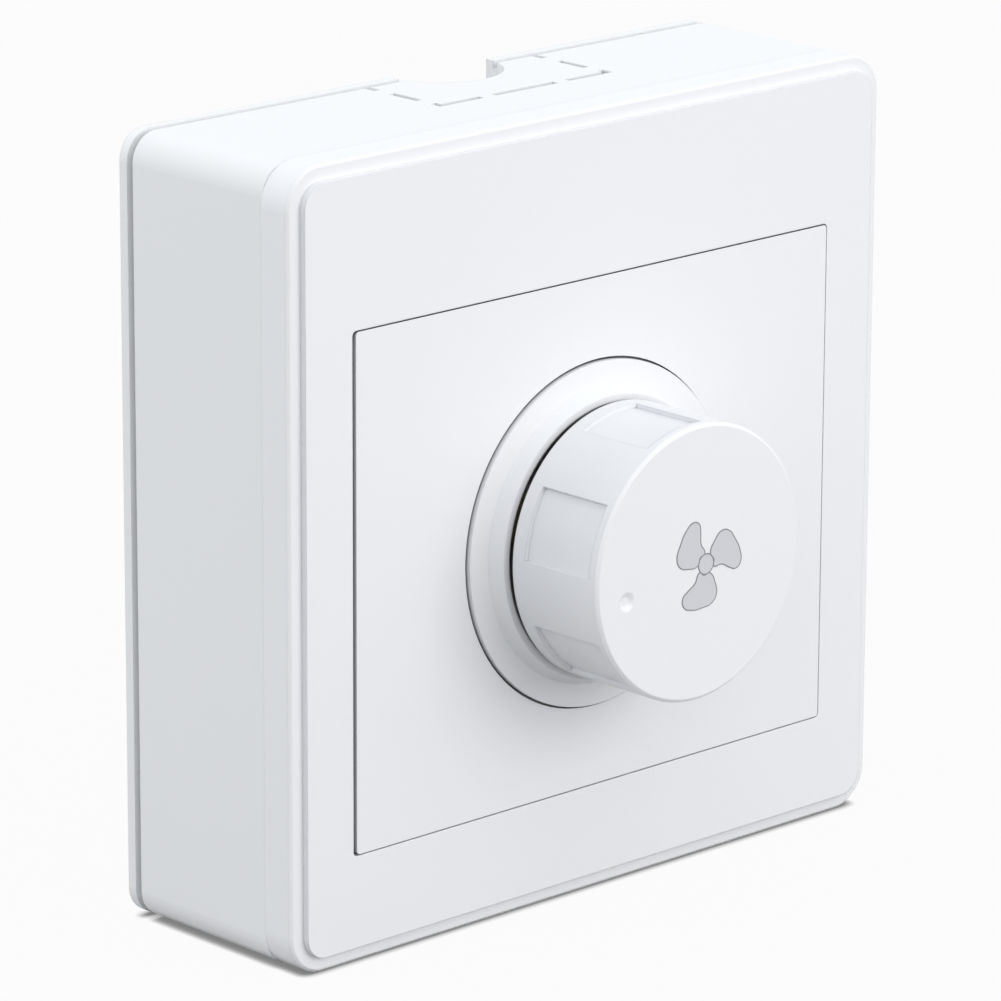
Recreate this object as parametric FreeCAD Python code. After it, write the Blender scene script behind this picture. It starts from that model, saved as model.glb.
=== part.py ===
"""Rotary fan speed control in a surface-mounted square wall box, sizes in millimetres.

The object is drawn as it would lie on its back: x to the right, y up the wall,
z out from the wall into the room. Each finished piece is then turned so that
its z points to the front of the part, which is -Y, and its y points up, +Z.
The origin is the middle of the face that lies on the wall.
"""
import FreeCAD
import Part
import math
import os

V = FreeCAD.Vector

# Fits
seat_gap = 0.15           # between moulded pieces that slip into each other
running_gap = 0.05        # radial, shaft in its bearings
screw_gap = 0.1           # radial, screw in its hole

# Wall box: rear plate with a rim, a shadow groove and the four walls
box_side = 85.4
box_wall = 2.0
box_corner = 3.2
base_overhang = 0.05      # of the rear rim past the walls
base_rim = 1.2
groove_width = 0.8
groove_depth = 0.8
tongue_height = 1.5
tongue_wall = 1.2
box_depth = 20.2          # of the four walls alone

# Holes in the rear plate
slot_pitch_x = 40.0
slot_pitch_y = 50.0
slot_width = 4.5
slot_length = 9.0
cable_hole_radius = 10.0
cable_hole_y = -4.0

# Cable notch and knock-out in the top wall
entry_x = 2.0
notch_radius = 7.0
knockout_half = 12.6
knockout_depth = 11.8
knockout_cut = 0.8
front_dashes = ((-12.6, -6.3), (-4.5, 4.5), (6.2, 12.6))   # along x from the middle
side_dashes = ((0.0, 1.5), (3.7, 7.9), (10.2, 11.8))        # back from the front corner

# Front plate: square with a flat border and a raised centre field
plate_overhang = 0.3      # of its edge past the box's walls
plate_corner = 4.5
plate_edge = 4.0          # height of its upright edge
edge_bevel = 0.3
plate_wall = 2.0
border_width = 1.75
field_rise = 0.75
field_corner = 2.6
plate_thickness = 2.0
lip_wall = 1.2
lip_reach = 1.7
hook_width = 7.0
hook_thickness = 1.2
hook_barb = 0.8
hook_x = 27.0
hook_root = 0.5           # of lip and hooks into the plate
hook_slope = 1.0          # of the hook's tip, along z
hook_land = 0.2           # flat part of its barb

# Insert panel in the front plate's window
margin_side = 8.6         # from the plate's edges to the panel
margin_top = 18.0
margin_bottom = 12.0
gap_left = 0.5            # between the panel and the window
gap_right = 0.1
gap_level = 0.15          # the same above and below
insert_corner = 0.4
insert_flange = 2.0
insert_flange_thickness = 0.8

# Bezel ring
ring_width = 3.9          # from the knob's side to the ring's edge
ring_gap = 0.25
ring_rise = 0.45          # of its face in front of the panel
ring_flange_thickness = 1.2
collar_foot = 1.3         # of its outside past the knob's side, at its foot
collar_tip = 0.5          # the same at its tip
collar_bore = -0.3        # the same for its bore
collar_top = 2.0          # in front of the panel
leg_wall = 1.3
leg_angle = 24.0
leg_count = 3
barb_reach = 0.6
barb_height = 0.7

# Knob
knob_radius = 15.0
knob_front = 15.35        # of its face in front of the panel
knob_lift = 2.8           # of its rear edge in front of the panel
knob_wall = 1.5
knob_face_thickness = 1.8
knob_bevel = 0.35
hub_radius = 5.2
hub_gap = 0.5             # from the hub to the bushing's end
clip_sheet = 0.35
clip_rise = 0.45
clip_gap = 0.05           # from the shaft's flat
clip_share = 0.8          # of the flat's width
clip_crest = 0.3          # of the clip's width, flat on top
clip_end = 1.0            # from the hub's rear to the clip
pocket_count = 6
pocket_angle = 31.0
pocket_first = 145.6
pocket_depth = 0.5
pocket_rear = 4.6         # in front of the panel
pocket_front_margin = 1.2
dimple_angle = 191.0
dimple_offset = 10.8
dimple_radius = 1.05
dimple_floor = 0.5
dimple_depth = 0.35

# Rotary control
shaft_radius = 3.0
shaft_flat = 1.6          # of the flat from the axis
shaft_in_knob = 9.0
shaft_tip_radius = 1.5
shaft_shoulder = 0.1      # from the can's floor to the shaft's full width
flat_start = 0.3          # from the bushing's end to the flat
bushing_wall = 0.45
bushing_length = 7.5
can_share = 0.34          # of the cup's width
can_height = 7.9
can_wall = 0.9
wiper_gap = 1.6           # from the wiper's end to the can's wall
wiper_hub = 4.0
wiper_thickness = 0.8
wiper_lift = 1.2          # from the can's floor
nut_across = 10.0
nut_height = 2.0
washer_side = 11.0
washer_thickness = 0.4
pin_width = 1.0
pin_thickness = 0.5
pin_pitch = 5.0
pin_reach = 1.0
pin_room = 0.3            # of the board's holes past the pins

# Mounting frame of sheet steel, on two pillars of the box
frame_margin = 1.0        # past the panel's flange, above and below
frame_end = 2.85          # from a screw slot to the frame's end
frame_sheet = 1.2
frame_fold = 3.0
frame_fold_share = 0.54   # of the frame's width
frame_slot_length = 8.0
pillar_share = 0.741      # of the way from the box's middle to the inside of its wall
pillar_side = 8.0
rib_thickness = 2.0
rib_drop = 2.6
frame_screw_radius = 1.75
frame_screw_length = 11.0
frame_head_across = 6.0
frame_head_height = 1.6

# Screws of the rear plate, in blocks in two opposite corners of the box
corner_block = 8.2
corner_block_height = 9.0
base_screw_inset = 4.9
base_screw_radius = 1.4
base_screw_length = 7.0
base_bore_depth = 8.0
bore_end = 1.0            # from a screw's tip to its bore's end
base_head_across = 5.0
base_counterbore = 3.0
base_head_height = 1.1
base_head_sink = 0.2      # below the rear face

# Speed module: cup behind the frame, board and components
cup_side_gap = 1.15       # from the cup to the pillars
cup_floor_gap = 1.6
cup_wall = 1.5
cup_boss_side = 5.2
cup_boss_inset = 1.7
cup_screw_radius = 1.2
cup_screw_length = 8.0
cup_head_across = 4.0
cup_head_height = 1.3
board_gap = 1.0
board_thickness = 1.6
ledge_width = 10.0
ledge_reach = 2.2

# Components on the board, in a bay on each side of the control
bay_gap = 2.0             # from a bay to the control and to the cup's wall
boss_gap = 0.2            # from a bay's end to the screw boss
choke_share = 0.28        # of the bay's length, as the next shares
choke_place = 0.35        # from the bay's middle
choke_fill = 0.95         # of the bay's width
choke_leg_share = 0.15    # of the core's width
window_share = 0.2        # of the core's width
coil_share = 0.8          # of each window that the coil fills
choke_depth = 4.0
choke_yoke = 1.8
winding_wall = 1.2        # in front of the core and behind it
winding_gap = 0.2         # from the winding to the yokes
cap_share = 0.18
cap_place = -0.04
cap_fill = 0.9            # of the bay's width
cap_depth = 6.8
fuse_share = 0.11
fuse_place = -0.32
fuse_fill = 0.75          # of the bay's width
fuse_depth = 6.5
sink_share = 0.54
sink_depth = 6.6
sink_base = 1.6
fin_count = 5
fin_thickness = 1.0
triac_share = 0.42
triac_fill = 0.9          # of the bay's width
tab_share = 0.36          # of the triac's length
lead_share = 0.11         # of the triac's length
triac_thickness = 4.4
tab_thickness = 1.3
lead_width = 0.8
lead_room = 0.2           # round a lead in its hole
resistor_radius = 1.1
resistor_length = 6.0
resistor_pitch = 4.0
resistor_count = 2
diac_width = 4.2
diac_height = 2.8
diac_depth = 2.0

# Terminal block under the cup
block_room = 4.1          # from the block to the box's lower wall
block_width = 20.0
block_height = 9.6
block_depth = 10.0
way_count = 2
way_radius = 2.2
clamp_wall = 0.6
terminal_screw_across = 3.0
terminal_screw_sink = 0.6 # below the block's rear face
mouth_share = 0.75        # of the block's height
clamp_share = 0.45
lead_in_block = 0.3

# Worked out from the sizes above, with every level measured out from the wall
base_side = box_side + 2 * base_overhang
base_corner = box_corner + base_overhang
base_seat = base_head_sink + base_head_height
box_inner = box_side - 2 * box_wall
plate_side = box_side + 2 * plate_overhang
insert_width = plate_side - 2 * margin_side
insert_height = plate_side - margin_top - margin_bottom
axis_y = (margin_bottom - margin_top) / 2
floor_level = base_rim + groove_width
box_front = floor_level + box_depth
edge_level = box_front + plate_edge
field_level = edge_level + field_rise
plate_back = field_level - plate_thickness
insert_back = plate_back - insert_flange_thickness
ring_seat = field_level + ring_rise - ring_flange_thickness
ring_radius = knob_radius + ring_width
foot_radius = knob_radius + collar_foot
tip_radius = knob_radius + collar_tip
bore_radius = knob_radius + collar_bore
leg_radius = bore_radius + leg_wall
barb_front = insert_back - seat_gap
leg_back = barb_front - barb_height
frame_front = box_front
frame_back = frame_front - frame_sheet
frame_height = insert_height + 2 * (insert_flange + frame_margin)
pillar_x = pillar_share * box_inner / 2
frame_width = 2 * (pillar_x + frame_end) + frame_slot_length
bushing_radius = shaft_radius + running_gap + bushing_wall
bushing_front = frame_back + bushing_length
knob_back = field_level + knob_lift
knob_face = field_level + knob_front
hub_back = bushing_front + hub_gap
shaft_front = hub_back + shaft_in_knob
cup_back = floor_level + cup_floor_gap
cup_width = 2 * (pillar_x - pillar_side / 2 - cup_side_gap)
cup_height = 2 * (box_inner / 2 + axis_y - block_height - block_room)
can_back = frame_back - can_height
board_front = can_back
board_back = board_front - board_thickness
can_side = can_share * cup_width
wiper_reach = can_side / 2 - can_wall - wiper_gap
bay_width = cup_width / 2 - cup_wall - can_side / 2 - 2 * bay_gap
bay_x = (cup_width / 2 - cup_wall + can_side / 2) / 2
block_top = axis_y - cup_height / 2
lead_level = cup_back + block_depth / 2
clamp_side = 2 * (way_radius - screw_gap)
bay_length = cup_height - 2 * (cup_wall + cup_boss_inset + boss_gap) - cup_boss_side
room_y = (can_side / 2 + cup_height / 2 - cup_wall) / 2
choke_width = choke_fill * bay_width
choke_height = choke_share * bay_length
choke_y = choke_place * bay_length
choke_leg = choke_leg_share * choke_width
choke_window = window_share * choke_width
cap_width = cap_fill * bay_width
cap_height = cap_share * bay_length
cap_y = cap_place * bay_length
fuse_width = fuse_fill * bay_width
fuse_height = fuse_share * bay_length
fuse_y = fuse_place * bay_length
sink_height = sink_share * bay_length
sink_y = (bay_length - sink_height) / 2
triac_width = triac_fill * bay_width
triac_length = triac_share * bay_length
triac_tab = tab_share * triac_length
triac_lead = lead_share * triac_length
triac_body = triac_length - triac_tab - triac_lead
triac_y = triac_tab + triac_body / 2 - bay_length / 2


def outline(width, height, radius, level, x=0.0, y=0.0):
    """A rounded rectangle as a closed wire at one level."""
    hx = width / 2
    hy = height / 2
    edges = []
    corners = [(hx - radius, hy - radius, 0), (-hx + radius, hy - radius, 90),
               (-hx + radius, -hy + radius, 180), (hx - radius, -hy + radius, 270)]
    points = []
    for cx, cy, start in corners:
        arc = []
        for turn in (0, 45, 90):
            a = math.radians(start + turn)
            arc.append(V(x + cx + radius * math.cos(a), y + cy + radius * math.sin(a), level))
        points.append(arc)
    for i, arc in enumerate(points):
        edges.append(Part.Arc(*arc).toShape())
        edges.append(Part.LineSegment(arc[2], points[(i + 1) % 4][0]).toShape())
    return Part.Wire(edges)


def slab(width, height, radius, low, high, x=0.0, y=0.0):
    """A rounded rectangular block between two levels."""
    face = Part.Face(outline(width, height, radius, low, x, y))
    return face.extrude(V(0, 0, high - low))


def frustum(wire_low, wire_high):
    return Part.makeLoft([wire_low, wire_high], True, True)


def turned(profile):
    """A body turned round the knob's axis from points of radius and level."""
    points = [V(r, axis_y, level) for r, level in profile]
    face = Part.Face(Part.makePolygon(points + points[:1]))
    return face.revolve(V(0, axis_y, 0), V(0, 0, 1), 360)


def disc(radius, low, high, x=0.0, y=0.0):
    return Part.makeCylinder(radius, high - low, V(x, y, low))


def tube(outer, inner, low, high, x=0.0, y=0.0):
    return disc(outer, low, high, x, y).cut(disc(inner, low, high, x, y))


def block(width, height, low, high, x=0.0, y=0.0):
    return Part.makeBox(width, height, high - low, V(x - width / 2, y - height / 2, low))


def slot(length, width, low, high, x=0.0, y=0.0):
    """A slot along x with round ends."""
    return slab(length, width, width / 2 - 0.001, low, high, x, y)


def sector(outer, inner, angle, start, low, high, x=0.0, y=0.0):
    """A piece of a ring that starts at one angle and spans another."""
    big = Part.makeCylinder(outer, high - low, V(x, y, low), V(0, 0, 1), angle)
    big.rotate(V(x, y, 0), V(0, 0, 1), start)
    return big.cut(disc(inner, low, high, x, y))


def polygon(points, low, high):
    wire = Part.makePolygon([V(px, py, low) for px, py in points + points[:1]])
    return Part.Face(wire).extrude(V(0, 0, high - low))


def hexagon(across, low, high, x=0.0, y=0.0):
    """A six-sided block from its width across the flats."""
    corner = across / math.sqrt(3)
    points = []
    for i in range(6):
        a = math.radians(60 * i)
        points.append((x + corner * math.cos(a), y + corner * math.sin(a)))
    return polygon(points, low, high)


def hex_screw(radius, length, head_across, head_height, seat, x, y):
    """A screw with a six-sided head that rests on the seat level."""
    return disc(radius, seat - length, seat, x, y).fuse(hexagon(head_across, seat, seat + head_height, x, y))


def four_ways(x, y):
    return [(sx * x, sy * y) for sx in (-1, 1) for sy in (-1, 1)]


def two_corners(x, y):
    """Two opposite corners of four."""
    return [(x, y), (-x, -y)]


def make_base_plate():
    """Rear plate of the box: rim, shadow groove, ribs inside the walls, wall slots and cable hole."""
    neck_side = base_side - 2 * groove_depth
    body = slab(base_side, base_side, base_corner, 0, base_rim)
    body = body.fuse(slab(neck_side, neck_side, base_corner - groove_depth, base_rim, floor_level))
    high = floor_level + tongue_height
    place = box_inner / 2 - seat_gap - tongue_wall / 2
    length = box_side - 2 * (corner_block + box_wall + 2 * seat_gap)
    rib_room = rib_thickness + 2 * seat_gap
    half = (length - rib_room) / 2
    for side in (-1, 1):
        body = body.fuse(block(length, tongue_wall, floor_level, high, 0, side * place))
        for end in (-1, 1):
            middle = end * (rib_room + half) / 2
            body = body.fuse(block(tongue_wall, half, floor_level, high, side * place, middle))
    for x, y in four_ways(slot_pitch_x / 2, slot_pitch_y / 2):
        body = body.cut(slot(slot_length, slot_width, 0, floor_level, x, y))
    body = body.cut(disc(cable_hole_radius, 0, floor_level, 0, cable_hole_y))
    for x, y in base_screw_places():
        body = body.cut(disc(base_screw_radius + screw_gap, 0, floor_level, x, y))
        body = body.cut(disc(base_counterbore, 0, base_seat, x, y))
    body = body.cut(cable_notch())
    return body.removeSplitter()


def base_screw_places():
    place = box_inner / 2 - base_screw_inset
    return two_corners(place, place)


def cable_notch():
    """Half-round notch in the rear edge of the top wall, through the rear plate's edge."""
    low = box_inner / 2 - tongue_wall - seat_gap - 1
    high = base_side / 2 + 1
    return Part.makeCylinder(notch_radius, high - low, V(entry_x, low, 0), V(0, 1, 0))


def knockout_slits():
    """Broken line of slits round the part of the top wall that can be pressed out."""
    low = box_inner / 2 - 1
    high = box_side / 2 + 1
    front = floor_level + knockout_depth
    slits = []
    for start, end in front_dashes:
        slits.append(Part.makeBox(end - start, high - low, knockout_cut,
                                  V(entry_x + start, low, front - knockout_cut)))
    for side in (-1, 1):
        x = entry_x + side * (knockout_half - knockout_cut / 2) - knockout_cut / 2
        for start, end in side_dashes:
            slits.append(Part.makeBox(knockout_cut, high - low, end - start, V(x, low, front - end)))
    return slits


def make_box_body():
    """Four walls with two corner blocks, two pillars on ribs and the knock-out in the top."""
    body = slab(box_side, box_side, box_corner, floor_level, box_front)
    body = body.cut(slab(box_inner, box_inner, box_corner - box_wall, floor_level, box_front))
    block_low = floor_level + tongue_height + seat_gap
    reach = corner_block + box_wall / 2
    place = box_side / 2 - box_wall / 2 - reach / 2
    keep_side = box_side - box_wall
    keep = slab(keep_side, keep_side, box_corner - box_wall / 2, floor_level, box_front)
    for x, y in two_corners(place, place):
        piece = block(reach, reach, block_low, block_low + corner_block_height, x, y)
        body = body.fuse(piece.common(keep))
    pillar_low = floor_level + seat_gap
    rib_from = pillar_x + pillar_side / 4
    rib_to = box_inner / 2 + box_wall / 2
    for side in (-1, 1):
        body = body.fuse(block(pillar_side, pillar_side, pillar_low, frame_back, side * pillar_x, 0))
        body = body.fuse(block(rib_to - rib_from, rib_thickness, pillar_low, frame_back - rib_drop,
                               side * (rib_from + rib_to) / 2, 0))
        bore_back = frame_front - frame_screw_length - bore_end
        body = body.cut(disc(frame_screw_radius + screw_gap, bore_back, frame_back, side * pillar_x, 0))
    for x, y in base_screw_places():
        body = body.cut(disc(base_screw_radius + screw_gap, block_low, base_seat + base_bore_depth, x, y))
    for slit in knockout_slits():
        body = body.cut(slit)
    body = body.cut(cable_notch())
    return body.removeSplitter()


def plate_outside():
    """Upright edge with a bevel, flat border and raised field of the front plate."""
    bevel_level = edge_level - edge_bevel
    bevel_side = plate_side - 2 * edge_bevel
    field_side = plate_side - 2 * border_width
    body = slab(plate_side, plate_side, plate_corner, box_front, bevel_level)
    body = body.fuse(frustum(outline(plate_side, plate_side, plate_corner, bevel_level),
                             outline(bevel_side, bevel_side, plate_corner - edge_bevel, edge_level)))
    body = body.fuse(slab(field_side, field_side, field_corner, edge_level, field_level))
    return body.removeSplitter()


def plate_hook(x, side):
    """Snap hook that grips the rear of the mounting frame's edge."""
    root_y = axis_y + side * (frame_height / 2 + seat_gap)
    root = plate_back + hook_root
    grip = frame_back - seat_gap
    tip = grip - hook_barb
    outer = root_y + side * hook_thickness
    inner = root_y - side * hook_barb
    points = [V(x, root_y, root), V(x, outer, root), V(x, outer, tip - hook_slope),
              V(x, root_y, tip - hook_slope), V(x, inner, grip - hook_land),
              V(x, inner, grip), V(x, root_y, grip)]
    face = Part.Face(Part.makePolygon(points + points[:1]))
    hook = face.extrude(V(hook_width, 0, 0))
    hook.translate(V(-hook_width / 2, 0, 0))
    return hook


def make_front_plate():
    """Shell with a window, a lip that locates it in the box and four snap hooks."""
    body = plate_outside()
    hollow = plate_side - 2 * plate_wall
    body = body.cut(block(hollow, hollow, box_front, plate_back))
    lip_side = box_inner - 2 * seat_gap
    lip = slab(lip_side, lip_side, box_corner - box_wall, box_front - lip_reach, plate_back + hook_root)
    lip_hollow = lip_side - 2 * lip_wall
    lip = lip.cut(block(lip_hollow, lip_hollow, box_front - lip_reach, plate_back))
    body = body.fuse(lip)
    for x in (-hook_x, hook_x):
        for side in (-1, 1):
            body = body.fuse(plate_hook(x, side))
    window_width = insert_width + gap_left + gap_right
    window_height = insert_height + 2 * gap_level
    window = slab(window_width, window_height, insert_corner + gap_level, plate_back - 1, field_level + 1,
                  (gap_right - gap_left) / 2, axis_y)
    return body.cut(window).removeSplitter()


def make_insert_panel():
    """Panel in the window, with a rear flange and a stepped hole for the ring."""
    body = slab(insert_width, insert_height, insert_corner, plate_back, field_level, 0, axis_y)
    flange = block(insert_width + 2 * insert_flange, insert_height + 2 * insert_flange,
                   insert_back, plate_back, 0, axis_y)
    body = body.fuse(flange)
    body = body.cut(disc(leg_radius + seat_gap, insert_back - 1, field_level + 1, 0, axis_y))
    body = body.cut(disc(ring_radius + ring_gap, ring_seat, field_level + 1, 0, axis_y))
    return body.removeSplitter()


def make_bezel_ring():
    """Flat flange with a tapered collar in front and three snap legs behind."""
    face = field_level + ring_rise
    top = field_level + collar_top
    body = turned([(bore_radius, ring_seat), (ring_radius, ring_seat), (ring_radius, face),
                   (foot_radius, face), (tip_radius, top), (bore_radius, top)])
    for i in range(leg_count):
        start = i * 360 / leg_count
        body = body.fuse(sector(leg_radius, bore_radius, leg_angle, start, leg_back, ring_seat, 0, axis_y))
        body = body.fuse(sector(leg_radius + barb_reach, bore_radius + leg_wall / 2, leg_angle, start,
                                leg_back, barb_front, 0, axis_y))
    return body.removeSplitter()


def make_knob():
    """Hollow knob with grip pockets, a pointer dimple and a hub."""
    body = turned([(0, knob_back), (knob_radius, knob_back), (knob_radius, knob_face - knob_bevel),
                   (knob_radius - knob_bevel, knob_face), (0, knob_face)])
    inner = knob_face - knob_face_thickness
    body = body.cut(disc(knob_radius - knob_wall, knob_back, inner, 0, axis_y))
    body = body.fuse(disc(hub_radius, hub_back, inner, 0, axis_y))
    body = body.cut(disc(shaft_radius + running_gap, hub_back, shaft_front + running_gap, 0, axis_y))
    for i in range(pocket_count):
        start = pocket_first + i * 360 / pocket_count
        body = body.cut(sector(knob_radius + 1, knob_radius - pocket_depth, pocket_angle, start,
                               field_level + pocket_rear, knob_face - pocket_front_margin, 0, axis_y))
    a = math.radians(dimple_angle)
    floor = V(dimple_offset * math.cos(a), axis_y + dimple_offset * math.sin(a), knob_face - dimple_depth)
    return body.cut(Part.makeCone(dimple_floor, dimple_radius, dimple_depth, floor)).removeSplitter()


def make_knob_spring_clip():
    """Bent leaf that presses on the shaft's flat inside the hub."""
    low = hub_back + clip_end
    high = shaft_front - clip_end / 2
    half = math.sqrt(shaft_radius ** 2 - shaft_flat ** 2) * clip_share
    crest = half * clip_crest
    bottom = shaft_flat + clip_gap
    top = bottom + clip_rise
    points = [(-half, bottom), (-crest, top), (crest, top), (half, bottom)]
    upper = [(px, py + clip_sheet) for px, py in reversed(points)]
    ring = [(px, py + axis_y) for px, py in points + upper]
    return polygon(ring, low, high)


def make_control_shaft():
    """Shaft from the rear pivot to the knob, with a flat on its front end."""
    tip_back = can_back + can_wall / 3
    shoulder = can_back + can_wall + shaft_shoulder
    body = disc(shaft_tip_radius, tip_back, shoulder, 0, axis_y)
    body = body.fuse(disc(shaft_radius, shoulder, shaft_front, 0, axis_y))
    flat = block(3 * shaft_radius, shaft_radius, bushing_front + flat_start, shaft_front + 1,
                 0, axis_y + shaft_flat + shaft_radius / 2)
    return body.cut(flat).removeSplitter()


def make_control_wiper():
    """Contact bar on the shaft inside the can, longer on one side."""
    low = can_back + can_wall + wiper_lift
    high = low + wiper_thickness
    bar = block(wiper_reach + wiper_hub, 2 * wiper_hub, low, high, (wiper_hub - wiper_reach) / 2, axis_y)
    return bar.cut(disc(shaft_radius, low, high, 0, axis_y))


def make_control_can():
    """Square can with the bushing's hole in front and the shaft's rear bearing behind."""
    body = block(can_side, can_side, can_back, frame_back, 0, axis_y)
    hollow = can_side - 2 * can_wall
    body = body.cut(block(hollow, hollow, can_back + can_wall, frame_back - can_wall, 0, axis_y))
    body = body.cut(disc(shaft_tip_radius + running_gap, can_back, can_back + can_wall, 0, axis_y))
    return body.cut(disc(bushing_radius, frame_back - can_wall, frame_back, 0, axis_y))


def make_control_bushing():
    return tube(bushing_radius, shaft_radius + running_gap, frame_back - can_wall, bushing_front, 0, axis_y)


def make_control_washer():
    body = block(washer_side, washer_side, frame_front, frame_front + washer_thickness, 0, axis_y)
    return body.cut(disc(bushing_radius + screw_gap, frame_front, frame_front + washer_thickness, 0, axis_y))


def make_control_nut():
    low = frame_front + washer_thickness
    body = hexagon(nut_across, low, low + nut_height, 0, axis_y)
    return body.cut(disc(bushing_radius, low, low + nut_height, 0, axis_y))


def pin_places():
    """The control's three contact pins, on the can's lower side."""
    y = axis_y - (can_side + pin_thickness) / 2
    return [(i * pin_pitch, y) for i in (-1, 0, 1)]


def make_control_terminals():
    pins = []
    low = board_back - pin_reach
    high = board_front + can_height / 2
    for x, y in pin_places():
        pins.append(block(pin_width, pin_thickness, low, high, x, y))
    return Part.makeCompound(pins)


def make_mounting_frame():
    """Sheet frame with two screw slots, a folded edge above and below and the bushing's hole."""
    body = block(frame_width, frame_height, frame_back, frame_front, 0, axis_y)
    fold_width = frame_fold_share * frame_width
    slot_height = 2 * (frame_screw_radius + 2 * screw_gap)
    for side in (-1, 1):
        y = axis_y + side * (frame_height / 2 - frame_sheet / 2)
        body = body.fuse(block(fold_width, frame_sheet, frame_back - frame_fold, frame_front, 0, y))
        body = body.cut(block(frame_slot_length, slot_height, frame_back, frame_front, side * pillar_x, 0))
    body = body.cut(disc(bushing_radius + screw_gap, frame_back, frame_front, 0, axis_y))
    for x, y in cup_screw_places():
        body = body.cut(disc(cup_screw_radius + screw_gap, frame_back, frame_front, x, y))
    return body.removeSplitter()


def make_frame_screws():
    screws = []
    for side in (-1, 1):
        screws.append(hex_screw(frame_screw_radius, frame_screw_length, frame_head_across,
                                frame_head_height, frame_front, side * pillar_x, 0))
    return Part.makeCompound(screws)


def make_base_screws():
    screws = []
    for x, y in base_screw_places():
        head = hexagon(base_head_across, base_head_sink, base_seat, x, y)
        screws.append(head.fuse(disc(base_screw_radius, base_seat, base_seat + base_screw_length, x, y)))
    return Part.makeCompound(screws)


def cup_screw_places():
    x = cup_width / 2 - cup_wall - cup_boss_inset
    y = cup_height / 2 - cup_wall - cup_boss_inset
    return [(px, axis_y + py) for px, py in two_corners(x, y)]


def make_module_housing():
    """Cup behind the frame that holds the board, with screw bosses and two board ledges."""
    outside = block(cup_width, cup_height, cup_back, frame_back, 0, axis_y)
    inner = block(cup_width - 2 * cup_wall, cup_height - 2 * cup_wall, cup_back + cup_wall, frame_back,
                  0, axis_y)
    body = outside.cut(inner)
    for x, y in cup_screw_places():
        boss = block(cup_boss_side, cup_boss_side, cup_back + cup_wall, frame_back, x, y)
        body = body.fuse(boss.common(outside))
    for side in (-1, 1):
        x = side * (cup_width / 2 - cup_wall - ledge_reach / 2 + cup_wall / 4)
        body = body.fuse(block(ledge_reach + cup_wall / 2, ledge_width, cup_back + cup_wall, board_back,
                               x, axis_y))
    bore_back = frame_front - cup_screw_length - bore_end
    for x, y in cup_screw_places():
        body = body.cut(disc(cup_screw_radius + screw_gap, bore_back, frame_back, x, y))
    for x in terminal_places():
        body = body.cut(lead_hole(x, block_top - cup_wall, 3 * cup_wall))
    return body.removeSplitter()


def make_module_screws():
    screws = []
    for x, y in cup_screw_places():
        screws.append(hex_screw(cup_screw_radius, cup_screw_length, cup_head_across, cup_head_height,
                                frame_front, x, y))
    return Part.makeCompound(screws)


def make_circuit_board():
    """Board on the ledges, notched round the screw bosses, with holes for the pins."""
    width = cup_width - 2 * cup_wall - 2 * board_gap
    height = cup_height - 2 * cup_wall - 2 * board_gap
    body = block(width, height, board_back, board_front, 0, axis_y)
    for x, y in cup_screw_places():
        room = cup_boss_side + board_gap
        body = body.cut(block(room, room, board_back, board_front, x, y))
    for x, y in pin_places():
        body = body.cut(block(pin_width + pin_room, pin_thickness + pin_room, board_back, board_front, x, y))
    return body.removeSplitter()


def make_choke_core():
    """Closed core with two windows beside its middle leg, held off the board by its winding."""
    low = board_front + winding_wall
    high = low + choke_depth
    y = axis_y + choke_y
    body = block(choke_width, choke_height, low, high, -bay_x, y)
    window_x = choke_width / 2 - choke_leg - choke_window / 2
    window_height = choke_height - 2 * choke_yoke
    for side in (-1, 1):
        body = body.cut(block(choke_window, window_height, low, high, -bay_x + side * window_x, y))
    return body


def make_choke_winding():
    """Square coil round the core's middle leg."""
    y = axis_y + choke_y
    low = board_front
    high = low + choke_depth + 2 * winding_wall
    length = choke_height - 2 * choke_yoke - 2 * winding_gap
    middle = choke_width - 2 * choke_leg - 2 * choke_window
    coil = block(middle + 2 * coil_share * choke_window, length, low, high, -bay_x, y)
    return coil.cut(block(middle, length, low + winding_wall, high - winding_wall, -bay_x, y))


def make_film_capacitor():
    return block(cap_width, cap_height, board_front, board_front + cap_depth, -bay_x, axis_y + cap_y)


def make_fuse():
    return block(fuse_width, fuse_height, board_front, board_front + fuse_depth, -bay_x, axis_y + fuse_y)


def make_resistors():
    """Rods that lie across the board above the control."""
    made = []
    level = board_front + resistor_radius
    for i in range(resistor_count):
        y = axis_y + room_y + (i - (resistor_count - 1) / 2) * resistor_pitch
        made.append(Part.makeCylinder(resistor_radius, resistor_length, V(-resistor_length / 2, y, level),
                                      V(1, 0, 0)))
    return Part.makeCompound(made)


def make_diac():
    return block(diac_width, diac_height, board_front, board_front + diac_depth, 0, axis_y - room_y)


def make_heat_sink():
    """Extruded sink whose fins point away from the board."""
    y = axis_y + sink_y
    body = block(bay_width, sink_height, board_front, board_front + sink_base, bay_x, y)
    step = (bay_width - fin_thickness) / (fin_count - 1)
    for i in range(fin_count):
        x = bay_x - bay_width / 2 + fin_thickness / 2 + i * step
        body = body.fuse(block(fin_thickness, sink_height, board_front, board_front + sink_depth, x, y))
    return body.removeSplitter()


def make_triac():
    """Power switch lying on the board: body, tab and three leads."""
    low = board_front
    y = axis_y + triac_y
    body = block(triac_width, triac_body, low, low + triac_thickness, bay_x, y)
    tab_y = y - (triac_body + triac_tab) / 2
    tab = block(triac_width, triac_tab, low, low + tab_thickness, bay_x, tab_y)
    body = body.fuse(tab)
    lead_y = y + (triac_body + triac_lead) / 2
    for i in (-1, 0, 1):
        body = body.fuse(block(lead_width, triac_lead, low, low + lead_width,
                               bay_x + i * triac_width / 4, lead_y))
    return body.removeSplitter()


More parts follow.
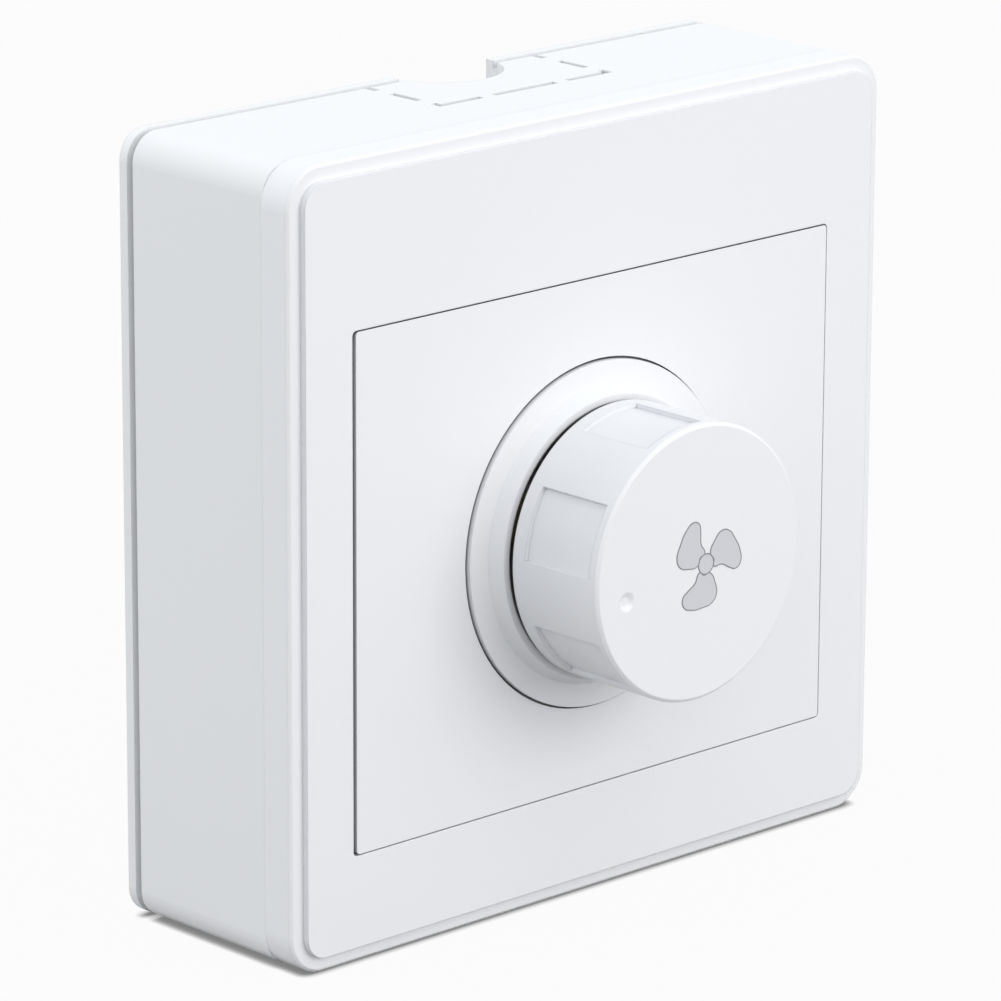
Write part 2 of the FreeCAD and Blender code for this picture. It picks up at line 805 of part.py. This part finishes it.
def lead_hole(x, y, length):
    """Room for one lead, along y."""
    side = lead_width + 2 * lead_room
    return Part.makeBox(side, length, side, V(x - side / 2, y, lead_level - lead_room))


def terminal_places():
    pitch = block_width / way_count
    return [(i - (way_count - 1) / 2) * pitch for i in range(way_count)]


def make_terminal_block():
    """Moulded block under the cup, with wire mouths below and screw wells behind."""
    y = block_top - block_height / 2
    body = block(block_width, block_height, cup_back, cup_back + block_depth, 0, y)
    mouth = 2 * way_radius
    for x in terminal_places():
        body = body.cut(Part.makeBox(mouth, mouth_share * block_height, mouth,
                                     V(x - way_radius, block_top - block_height, lead_level - way_radius)))
        body = body.cut(disc(way_radius, cup_back, lead_level, x, y))
        body = body.cut(lead_hole(x, y, block_height))
    return body.removeSplitter()


def make_terminal_leads():
    """Strips from the block's clamps up into the cup."""
    made = []
    low_y = block_top - lead_in_block * block_height
    length = lead_in_block * block_height + cup_wall + board_gap / 2
    for x in terminal_places():
        made.append(Part.makeBox(lead_width, length, lead_width, V(x - lead_width / 2, low_y, lead_level)))
    return Part.makeCompound(made)


def make_terminal_clamps():
    """Short square metal cages that hold the wire ends."""
    made = []
    y = block_top - mouth_share * block_height
    length = clamp_share * block_height
    hollow = clamp_side - 2 * clamp_wall
    for x in terminal_places():
        cage = Part.makeBox(clamp_side, length, clamp_side,
                            V(x - clamp_side / 2, y, lead_level - clamp_side / 2))
        made.append(cage.cut(Part.makeBox(hollow, length - clamp_wall, hollow,
                                          V(x - hollow / 2, y, lead_level - hollow / 2))))
    return Part.makeCompound(made)


def make_terminal_screws():
    made = []
    low = cup_back + terminal_screw_sink
    for x in terminal_places():
        made.append(hexagon(terminal_screw_across, low, lead_level - clamp_side / 2, x,
                            block_top - block_height / 2))
    return Part.makeCompound(made)


NODES = {
    "base_plate": make_base_plate,
    "box_body": make_box_body,
    "base_screws": make_base_screws,
    "front_plate": make_front_plate,
    "insert_panel": make_insert_panel,
    "bezel_ring": make_bezel_ring,
    "knob": make_knob,
    "knob_spring_clip": make_knob_spring_clip,
    "control_shaft": make_control_shaft,
    "control_wiper": make_control_wiper,
    "control_can": make_control_can,
    "control_bushing": make_control_bushing,
    "control_washer": make_control_washer,
    "control_nut": make_control_nut,
    "control_terminals": make_control_terminals,
    "mounting_frame": make_mounting_frame,
    "frame_screws": make_frame_screws,
    "module_housing": make_module_housing,
    "module_screws": make_module_screws,
    "circuit_board": make_circuit_board,
    "choke_core": make_choke_core,
    "choke_winding": make_choke_winding,
    "film_capacitor": make_film_capacitor,
    "fuse": make_fuse,
    "resistors": make_resistors,
    "diac": make_diac,
    "heat_sink": make_heat_sink,
    "triac": make_triac,
    "terminal_block": make_terminal_block,
    "terminal_leads": make_terminal_leads,
    "terminal_clamps": make_terminal_clamps,
    "terminal_screws": make_terminal_screws,
}


def main():
    os.makedirs("parts", exist_ok=True)
    for name, make in NODES.items():
        shape = make()
        shape.rotate(V(0, 0, 0), V(1, 0, 0), 90)
        shape.exportStep(f"parts/{name}.step")
        solids = shape.Solids
        print(f"{name}: {len(solids)} solid, volume {shape.Volume:.1f} mm3, valid {shape.isValid()}")


main()
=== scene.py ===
"""Fan speed control switch: materials, fan sign, floor, light and camera."""
import math

import bpy
from mathutils import Matrix, Vector


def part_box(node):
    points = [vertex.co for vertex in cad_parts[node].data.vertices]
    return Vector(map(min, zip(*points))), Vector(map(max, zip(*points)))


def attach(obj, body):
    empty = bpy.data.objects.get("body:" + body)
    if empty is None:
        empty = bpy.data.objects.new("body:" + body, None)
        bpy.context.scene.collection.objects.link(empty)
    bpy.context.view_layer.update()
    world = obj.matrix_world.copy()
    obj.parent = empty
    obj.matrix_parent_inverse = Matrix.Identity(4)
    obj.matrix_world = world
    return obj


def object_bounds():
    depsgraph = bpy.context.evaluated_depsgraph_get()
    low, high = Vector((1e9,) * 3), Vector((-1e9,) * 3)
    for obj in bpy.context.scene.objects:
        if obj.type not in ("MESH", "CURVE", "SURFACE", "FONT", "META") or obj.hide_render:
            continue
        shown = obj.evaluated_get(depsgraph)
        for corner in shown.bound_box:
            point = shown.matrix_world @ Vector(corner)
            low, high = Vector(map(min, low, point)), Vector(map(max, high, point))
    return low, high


MM = 0.001

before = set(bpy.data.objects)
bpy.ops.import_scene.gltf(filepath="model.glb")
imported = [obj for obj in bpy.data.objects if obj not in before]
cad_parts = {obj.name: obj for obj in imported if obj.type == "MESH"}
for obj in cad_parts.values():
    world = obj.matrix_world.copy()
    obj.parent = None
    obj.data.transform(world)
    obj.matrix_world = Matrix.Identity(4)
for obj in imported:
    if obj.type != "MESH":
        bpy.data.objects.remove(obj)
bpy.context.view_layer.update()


# Small tools for node trees

NOISE_LOW = 0.3                   # a noise texture stays between these nearly everywhere
NOISE_HIGH = 0.7


def new_material(name):
    mat = bpy.data.materials.new(name)
    mat.use_nodes = True
    tree = mat.node_tree
    shader = tree.nodes["Principled BSDF"]
    return mat, tree, shader


def add_node(tree, kind, **values):
    """A new node: values that start with in_ go to its sockets, the others to its settings."""
    node = tree.nodes.new(kind)
    for key, value in values.items():
        if key.startswith("in_"):
            node.inputs[key[3:].replace("_", " ")].default_value = value
        else:
            setattr(node, key, value)
    return node


def object_point(tree):
    return add_node(tree, "ShaderNodeTexCoord").outputs["Object"]


def noise(tree, point, scale, detail):
    node = add_node(tree, "ShaderNodeTexNoise", in_Scale=scale, in_Detail=detail, in_Roughness=0.5)
    tree.links.new(point, node.inputs["Vector"])
    return node.outputs["Fac"]


def remap(tree, value, low, high, to_low, to_high):
    """The value, with one range of it stretched over another."""
    node = add_node(tree, "ShaderNodeMapRange")
    node.inputs["From Min"].default_value = low
    node.inputs["From Max"].default_value = high
    node.inputs["To Min"].default_value = to_low
    node.inputs["To Max"].default_value = to_high
    tree.links.new(value, node.inputs["Value"])
    return node.outputs["Result"]


def bump(tree, height, strength, distance, normal=None):
    node = add_node(tree, "ShaderNodeBump", in_Strength=strength, in_Distance=distance)
    tree.links.new(height, node.inputs["Height"])
    if normal is not None:
        tree.links.new(normal, node.inputs["Normal"])
    return node.outputs["Normal"]


def soft_edges(tree, radius):
    """Normals that run round every sharp edge with a small radius."""
    return add_node(tree, "ShaderNodeBevel", samples=6, in_Radius=radius).outputs["Normal"]


def two_colours(tree, factor, first, second):
    """A mix of two colours, of which the second may come from another node."""
    node = add_node(tree, "ShaderNodeMix", data_type="RGBA")
    node.inputs["A"].default_value = (*first, 1)
    if isinstance(second, tuple):
        node.inputs["B"].default_value = (*second, 1)
    else:
        tree.links.new(second, node.inputs["B"])
    tree.links.new(factor, node.inputs["Factor"])
    return node.outputs["Result"]


def vary_roughness(tree, shader, pattern, low, high):
    """A roughness that follows a noise pattern between two values."""
    tree.links.new(remap(tree, pattern, NOISE_LOW, NOISE_HIGH, low, high), shader.inputs["Roughness"])


def is_ray(tree, *kinds):
    """1 for rays of the named kinds and 0 for all others."""
    path = add_node(tree, "ShaderNodeLightPath")
    either = path.outputs[kinds[0]]
    for kind in kinds[1:]:
        node = add_node(tree, "ShaderNodeMath", operation="MAXIMUM")
        tree.links.new(either, node.inputs[0])
        tree.links.new(path.outputs[kind], node.inputs[1])
        either = node.outputs[0]
    return either


def mix_shaders(tree, factor, first, second):
    node = add_node(tree, "ShaderNodeMixShader")
    tree.links.new(factor, node.inputs["Fac"])
    tree.links.new(first, node.inputs[1])
    tree.links.new(second, node.inputs[2])
    return node.outputs[0]


def srgb(r, g, b):
    """A colour as seen on screen, from 0 to 255, in the linear form that shaders take."""
    def linear(v):
        v /= 255
        return v / 12.92 if v <= 0.04045 else ((v + 0.055) / 1.055) ** 2.4
    return (linear(r), linear(g), linear(b))


# Moulded plastic, for the outer pieces and the sign

SHADE_DARKEST = 0.985             # share of the colour where its slow change is darkest
GLOSS_CHANGE = 0.01
PLASTIC_IOR = 1.5
GAP_SHADE_REACH = 1.4 * MM              # how far from a point a surface still paints shade into its gap
# Colours of the shade painted into gaps, from darkest to palest
DARK_GAP_SHADE = (0.05, 0.048, 0.045)
GREY_GAP_SHADE = (0.30, 0.29, 0.28)
PALE_GAP_SHADE = (0.85, 0.85, 0.86)     # painted gap shade, kept pale on walls that face the light
NARROW_GAP_SHADE = (0.04, 0.26)        # open share at which the painted gap shade is full, and is gone
WIDE_GAP_SHADE = (0.10, 0.50)


def painted_gap_shade(tree, colour, gap_shade, gap_shade_range):
    """The colour, with shade painted in: a darker one deep inside gaps, found by an occlusion test."""
    hidden = add_node(tree, "ShaderNodeAmbientOcclusion", samples=6, in_Distance=GAP_SHADE_REACH)
    open_share = remap(tree, hidden.outputs["AO"], *gap_shade_range, 0.0, 1.0)
    return two_colours(tree, open_share, gap_shade, colour)


def moulded_plastic(name, colour, rough, grain=0.012, edge=0.22, gap_shade=DARK_GAP_SHADE, gap_shade_range=NARROW_GAP_SHADE):
    """Satin moulded plastic with soft edges, a very fine spark-eroded grain, a slow change of gloss and
    painted shade in its gaps.

    The grain's height and the edges' radius are in millimetres.
    """
    mat, tree, shader = new_material(name)
    point = object_point(tree)
    shade = noise(tree, point, scale=28.0, detail=2.0)
    darker = tuple(v * SHADE_DARKEST for v in colour)
    surface = two_colours(tree, shade, darker, colour)
    # Painted shade: the base colour turns darker inside gaps
    tree.links.new(painted_gap_shade(tree, surface, gap_shade, gap_shade_range), shader.inputs["Base Color"])
    gloss = noise(tree, point, scale=160.0, detail=4.0)
    vary_roughness(tree, shader, gloss, rough - GLOSS_CHANGE, rough + GLOSS_CHANGE)
    fine = noise(tree, point, scale=5200.0, detail=2.0)
    rounded = soft_edges(tree, edge * MM)
    grained = bump(tree, fine, strength=0.25, distance=grain * MM, normal=rounded)
    tree.links.new(grained, shader.inputs["Normal"])
    shader.inputs["IOR"].default_value = PLASTIC_IOR
    return mat


# Materials of the inside and of the screws

PATCH_LIGHTER = 1.35              # of dark plastic: times the colour, and a little on top
PATCH_LIGHT = 0.004
SMOOTHER = 0.05                   # of dark plastic, from its mean roughness
ROUGHER = 0.07
CLOUD_DARKEST = 0.82              # share of metal's colour where it is darkest
LINES_GLOSS = 0.08                # change of metal's roughness from line to line
FINE_IN_X = (8.0, 1.0, 1.0)       # metal's pattern changes 8 times as fast along one axis
FINE_IN_Y = (1.0, 8.0, 1.0)
FINE_IN_Z = (1.0, 1.0, 8.0)
BOARD_ROUGH = 0.32
TRACK_EDGE = (0.10, 0.13)         # distance from a track's middle at which it slopes off
MASK_GREEN = (0.010, 0.075, 0.030)
TRACK_GREEN = (0.020, 0.150, 0.060)
BAND_EDGE = (0.68, 0.72)          # shares of the pitch between which a coloured band starts


def dark_plastic(name, colour, rough):
    """Plastic, ferrite or lacquer of one colour with a grain and an uneven gloss."""
    mat, tree, shader = new_material(name)
    point = object_point(tree)
    patches = noise(tree, point, scale=220.0, detail=4.0)
    lighter = tuple(min(1.0, v * PATCH_LIGHTER + PATCH_LIGHT) for v in colour)
    tree.links.new(two_colours(tree, patches, colour, lighter), shader.inputs["Base Color"])
    vary_roughness(tree, shader, patches, rough - SMOOTHER, rough + ROUGHER)
    fine = noise(tree, point, scale=3000.0, detail=2.0)
    tree.links.new(bump(tree, fine, strength=0.4, distance=0.03 * MM), shader.inputs["Normal"])
    return mat


def metal(name, colour, rough, stretch):
    """Plated or drawn metal with fine lines across the axis that the stretch names."""
    mat, tree, shader = new_material(name)
    shader.inputs["Metallic"].default_value = 1.0
    point = object_point(tree)
    scaled = add_node(tree, "ShaderNodeMapping", in_Scale=stretch)
    tree.links.new(point, scaled.inputs["Vector"])
    lines = noise(tree, scaled.outputs["Vector"], scale=900.0, detail=3.0)
    cloud = noise(tree, point, scale=90.0, detail=3.0)
    darker = tuple(v * CLOUD_DARKEST for v in colour)
    tree.links.new(two_colours(tree, cloud, darker, colour), shader.inputs["Base Color"])
    vary_roughness(tree, shader, lines, rough - LINES_GLOSS, rough + LINES_GLOSS)
    tree.links.new(bump(tree, lines, strength=0.5, distance=0.01 * MM), shader.inputs["Normal"])
    return mat


def circuit_board(name):
    """Green solder mask with slightly raised tracks."""
    mat, tree, shader = new_material(name)
    point = object_point(tree)
    cells = add_node(tree, "ShaderNodeTexVoronoi", feature="DISTANCE_TO_EDGE",
                     in_Scale=230.0, in_Randomness=0.55)
    tree.links.new(point, cells.inputs["Vector"])
    track = remap(tree, cells.outputs["Distance"], *TRACK_EDGE, 1.0, 0.0)
    base = two_colours(tree, track, MASK_GREEN, TRACK_GREEN)
    tree.links.new(base, shader.inputs["Base Color"])
    shader.inputs["Roughness"].default_value = BOARD_ROUGH
    tree.links.new(bump(tree, track, strength=0.8, distance=0.03 * MM), shader.inputs["Normal"])
    return mat


def banded(name, body, bands, pitch, rough):
    """A lacquered rod along x with coloured bands across it."""
    mat, tree, shader = new_material(name)
    point = object_point(tree)
    split = add_node(tree, "ShaderNodeSeparateXYZ")
    tree.links.new(point, split.inputs["Vector"])
    wave = add_node(tree, "ShaderNodeMath", operation="PINGPONG")
    wave.inputs[1].default_value = pitch
    tree.links.new(split.outputs["X"], wave.inputs[0])
    band_from, band_full = BAND_EDGE
    stripe = remap(tree, wave.outputs[0], pitch * band_from, pitch * band_full, 0.0, 1.0)
    tree.links.new(two_colours(tree, stripe, body, bands), shader.inputs["Base Color"])
    fine = noise(tree, point, scale=1500.0, detail=2.0)
    tree.links.new(bump(tree, fine, strength=0.3, distance=0.02 * MM), shader.inputs["Normal"])
    shader.inputs["Roughness"].default_value = rough
    return mat


# The materials, and which piece has which

BOX_WHITE = srgb(235, 236, 237)
WHITE = srgb(236, 237, 239)
INK = srgb(205, 206, 210)
INK_LINE = srgb(128, 129, 134)

materials = {
    # Shade painted into gaps: grey on the box, pale on the plate, whose gap walls face the light, and
    # dark on the other white pieces, reaching wider on the insert
    "box": moulded_plastic("box_plastic", BOX_WHITE, rough=0.38, gap_shade=GREY_GAP_SHADE),
    "plate": moulded_plastic("plate_plastic", WHITE, rough=0.33, gap_shade=PALE_GAP_SHADE),
    "insert": moulded_plastic("insert_plastic", WHITE, rough=0.34, edge=0.05, gap_shade_range=WIDE_GAP_SHADE),
    "ring": moulded_plastic("ring_plastic", WHITE, rough=0.32),
    "knob": moulded_plastic("knob_plastic", WHITE, rough=0.30),
    "sign": moulded_plastic("sign_ink", INK, rough=0.42, grain=0.006, edge=0.02),
    "sign_edge": moulded_plastic("sign_outline", INK_LINE, rough=0.42, grain=0.006, edge=0.02),
    "zinc": metal("zinc_steel", (0.62, 0.63, 0.64), 0.34, FINE_IN_Z),
    "spring": metal("spring_steel", (0.52, 0.53, 0.55), 0.26, FINE_IN_X),
    "brass": metal("machined_brass", (0.72, 0.52, 0.22), 0.28, FINE_IN_Y),
    "copper": metal("enamelled_wire", (0.66, 0.27, 0.10), 0.30, FINE_IN_Y),
    "aluminium": metal("extruded_aluminium", (0.66, 0.67, 0.69), 0.36, FINE_IN_Y),
    "module": dark_plastic("module_plastic", (0.018, 0.018, 0.020), 0.50),
    "can": dark_plastic("can_plastic", (0.055, 0.058, 0.065), 0.45),
    "ferrite": dark_plastic("ferrite_core", (0.028, 0.028, 0.030), 0.62),
    "board": circuit_board("board_mask"),
    "film": dark_plastic("film_capacitor_case", (0.62, 0.33, 0.03), 0.30),
    "fuse": dark_plastic("fuse_case", (0.050, 0.022, 0.012), 0.32),
    "resistor": banded("resistor_lacquer", (0.42, 0.30, 0.16), (0.14, 0.05, 0.02), 0.9 * MM, 0.35),
    "diac": banded("diac_body", (0.02, 0.06, 0.22), (0.01, 0.01, 0.01), 1.6 * MM, 0.25),
    "terminal": dark_plastic("terminal_plastic", (0.24, 0.25, 0.27), 0.45),
}

dress = {
    "base_plate": "box", "box_body": "box", "base_screws": "zinc", "front_plate": "plate",
    "insert_panel": "insert", "bezel_ring": "ring", "knob": "knob",
    "knob_spring_clip": "spring", "control_shaft": "brass", "control_wiper": "brass",
    "control_can": "can", "control_bushing": "brass", "control_washer": "zinc", "control_nut": "brass",
    "control_terminals": "brass", "mounting_frame": "zinc", "frame_screws": "zinc",
    "module_housing": "module", "module_screws": "zinc", "circuit_board": "board",
    "choke_core": "ferrite", "choke_winding": "copper", "film_capacitor": "film", "fuse": "fuse",
    "resistors": "resistor", "diac": "diac", "heat_sink": "aluminium", "triac": "module",
    "terminal_block": "terminal", "terminal_leads": "brass", "terminal_clamps": "brass",
    "terminal_screws": "zinc",
}

for node, key in dress.items():
    mesh = bpy.data.objects[node].data
    mesh.materials.clear()
    mesh.materials.append(materials[key])


# Fan sign on the knob's face: a hub and three blades, with a thin raised outline

SIGN_CENTRE = (0.94, -3.25)       # x and z of its hub, mm
SIGN_HUB_RADIUS = 1.1
SIGN_PROUD = 0.03                 # of the ink in front of the face, mm
SIGN_LINE = 0.07                  # half the width of the outline, mm
CURVE_STEPS = 8                   # between two points of an outline
LINE_STEPS = 2                    # round the outline's section
HUB_POINTS = 8
BLADES = 3
# One blade's outline from the hub round to the hub, about the hub's middle, mm
BLADE = [(-0.22, 1.18), (-0.78, 2.3), (-0.85, 3.6), (-1.05, 4.5), (-1.9, 4.85), (-3.0, 4.1),
         (-3.85, 2.7), (-4.3, 1.4), (-3.9, 0.4), (-2.7, -0.05), (-1.2, 0.05), (-0.85, 0.85)]


def closed_loop(curve, points):
    """Add a smooth closed loop through points of the curve's own plane."""
    spline = curve.splines.new("BEZIER")
    spline.bezier_points.add(len(points) - 1)
    for knot, (x, y) in zip(spline.bezier_points, points):
        knot.co = (x * MM, y * MM, 0)
        knot.handle_left_type = "AUTO"
        knot.handle_right_type = "AUTO"
    spline.use_cyclic_u = True


def sign_loops():
    """The hub's circle and the three blades, about the hub."""
    hub = []
    for i in range(HUB_POINTS):
        a = math.radians(360 / HUB_POINTS * i)
        hub.append((SIGN_HUB_RADIUS * math.cos(a), SIGN_HUB_RADIUS * math.sin(a)))
    loops = [hub]
    for i in range(BLADES):
        a = math.radians(360 / BLADES * i)
        blade = []
        for x, y in BLADE:
            blade.append((x * math.cos(a) - y * math.sin(a), x * math.sin(a) + y * math.cos(a)))
        loops.append(blade)
    return loops


def sign_piece(name, material, loops, filled):
    """One piece of the sign on the knob's face: filled shapes, or their outlines."""
    curve = bpy.data.curves.new(name, "CURVE")
    curve.resolution_u = CURVE_STEPS
    if filled:
        curve.dimensions = "2D"
        curve.fill_mode = "BOTH"
        curve.extrude = SIGN_PROUD * MM
    else:
        curve.dimensions = "3D"
        curve.bevel_depth = SIGN_LINE * MM
        curve.bevel_resolution = LINE_STEPS
    for loop in loops:
        closed_loop(curve, loop)
    curve.materials.append(material)
    piece = bpy.data.objects.new(name, curve)
    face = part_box("knob")[0][1]
    piece.location = (SIGN_CENTRE[0] * MM, face, SIGN_CENTRE[1] * MM)
    piece.rotation_euler = (math.radians(90), 0, 0)
    bpy.context.scene.collection.objects.link(piece)
    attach(piece, "knob_body")


for part, loop in zip(("hub", "blade_1", "blade_2", "blade_3"), sign_loops()):
    sign_piece(f"fan_sign_{part}", materials["sign"], [loop], filled=True)
sign_piece("fan_sign_outline", materials["sign_edge"], sign_loops(), filled=False)


# Floor and backdrop

FLOOR_HALF = 1.6                  # half the floor's side, m
FLOOR_GREY = (0.28, 0.28, 0.28, 1)
FLOOR_GLOW = 0.955                # share of plain white in what the camera sees of the floor
CONTACT_REACH = 1.1 * MM          # of the painted shadow round the object's foot
CONTACT_DARKEST = 0.22            # brightness of the floor right under it
CONTACT_FULL = 0.35               # open share at which the painted contact shadow is darkest
CONTACT_GONE = 0.95               # and at which it ends
WHITE_LIGHT = (1, 1, 1, 1)
SKY = (0.95, 0.97, 1.0, 1)


def stage_material():
    """White for the camera and for reflections, with a thin painted shadow where the object stands."""
    mat = bpy.data.materials.new("stage_white")
    mat.use_nodes = True
    tree = mat.node_tree
    tree.nodes.clear()
    diffuse = add_node(tree, "ShaderNodeBsdfDiffuse", in_Color=FLOOR_GREY)
    contact = add_node(tree, "ShaderNodeAmbientOcclusion", samples=8, in_Distance=CONTACT_REACH)
    # Painted contact shadow: the floor's glow dims close to the object
    painted_shadow = remap(tree, contact.outputs["AO"], CONTACT_FULL, CONTACT_GONE, CONTACT_DARKEST, 1.0)
    glow = add_node(tree, "ShaderNodeEmission", in_Color=WHITE_LIGHT)
    tree.links.new(painted_shadow, glow.inputs["Strength"])
    share = add_node(tree, "ShaderNodeMath", operation="MULTIPLY")
    share.inputs[1].default_value = FLOOR_GLOW
    seen = is_ray(tree, "Is Camera Ray", "Is Glossy Ray", "Is Transmission Ray")
    tree.links.new(seen, share.inputs[0])
    out = add_node(tree, "ShaderNodeOutputMaterial")
    surface = mix_shaders(tree, share.outputs[0], diffuse.outputs[0], glow.outputs[0])
    tree.links.new(surface, out.inputs["Surface"])
    return mat


def make_floor():
    """A flat floor at the object's lowest point."""
    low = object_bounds()[0][2]
    half = FLOOR_HALF
    mesh = bpy.data.meshes.new("floor")
    corners = [(-half, -half, low), (half, -half, low), (half, half, low), (-half, half, low)]
    mesh.from_pydata(corners, [], [(0, 1, 2, 3)])
    floor = bpy.data.objects.new("floor", mesh)
    bpy.context.scene.collection.objects.link(floor)
    mesh.materials.append(stage_material())


def make_world():
    """White for the camera, and soft, slightly blue light for the object."""
    world = bpy.data.worlds.new("studio")
    world.use_nodes = True
    tree = world.node_tree
    tree.nodes.clear()
    white = add_node(tree, "ShaderNodeBackground", in_Color=WHITE_LIGHT, in_Strength=1.0)
    soft = add_node(tree, "ShaderNodeBackground", in_Color=SKY, in_Strength=1.0)
    out = add_node(tree, "ShaderNodeOutputWorld")
    seen = is_ray(tree, "Is Camera Ray", "Is Transmission Ray")
    surface = mix_shaders(tree, seen, soft.outputs[0], white.outputs[0])
    tree.links.new(surface, out.inputs["Surface"])
    bpy.context.scene.world = world


make_floor()
make_world()


# Lamps

WARM = (1.0, 0.975, 0.95)
NEUTRAL = (1.0, 1.0, 1.0)


def area_lamp(name, place, width, height, power, colour):
    """A rectangular lamp that points at the origin, its size in metres and its power in watts."""
    data = bpy.data.lights.new(name, "AREA")
    data.shape = "RECTANGLE"
    data.size = width
    data.size_y = height
    data.energy = power
    data.color = colour
    lamp = bpy.data.objects.new(name, data)
    lamp.location = place
    lamp.rotation_euler = (-Vector(place)).to_track_quat("-Z", "Y").to_euler()
    bpy.context.scene.collection.objects.link(lamp)
    return lamp


area_lamp("key_above", (0.10, -0.25, 0.90), width=0.9, height=0.9, power=0.75, colour=WARM)
area_lamp("front_fill", (0.30, -1.10, 0.30), width=0.8, height=0.8, power=5.5, colour=WARM)
left_fill = area_lamp("left_fill", (-1.3, 0.80, 0.35), width=0.9, height=1.0, power=5.4, colour=NEUTRAL)
left_fill.visible_glossy = False  # or its glare whitens the top, seen from the right


# Camera, fitted to the photo

AZIMUTH = -43.448                 # degrees, as the next two
ELEVATION = 16.086
ROLL = 0.234
FOCAL_PIXELS = 6328.6
DISTANCE = 679.9 * MM
AIM_Y = -14 * MM
SHIFT_RIGHT = 1.365 * MM          # of the object in the picture
SHIFT_UP = 2.092 * MM
IMAGE_PIXELS = 1001
SENSOR = 36.0                     # mm
CLIP_START = 0.01                 # m, as the next one
CLIP_END = 20.0


def make_camera():
    """A camera that looks at a point inside the object, turned as the photo's was."""
    az = math.radians(AZIMUTH)
    el = math.radians(ELEVATION)
    roll = math.radians(ROLL)
    forward = Vector((-math.sin(az) * math.cos(el), math.cos(az) * math.cos(el), -math.sin(el)))
    right = forward.cross(Vector((0, 0, 1))).normalized()
    up = right.cross(forward)
    rolled_right = right * math.cos(roll) + up * math.sin(roll)
    rolled_up = up * math.cos(roll) - right * math.sin(roll)
    target = Vector((0, AIM_Y, 0)) - rolled_right * SHIFT_RIGHT - rolled_up * SHIFT_UP
    data = bpy.data.cameras.new("camera")
    data.sensor_width = SENSOR
    data.lens = FOCAL_PIXELS * SENSOR / IMAGE_PIXELS
    data.clip_start = CLIP_START
    data.clip_end = CLIP_END
    camera = bpy.data.objects.new("camera", data)
    turn = Matrix((rolled_right, rolled_up, -forward)).transposed()
    camera.matrix_world = Matrix.Translation(target - forward * DISTANCE) @ turn.to_4x4()
    bpy.context.scene.collection.objects.link(camera)
    bpy.context.scene.camera = camera


make_camera()
bpy.context.scene.view_settings.view_transform = "Standard"
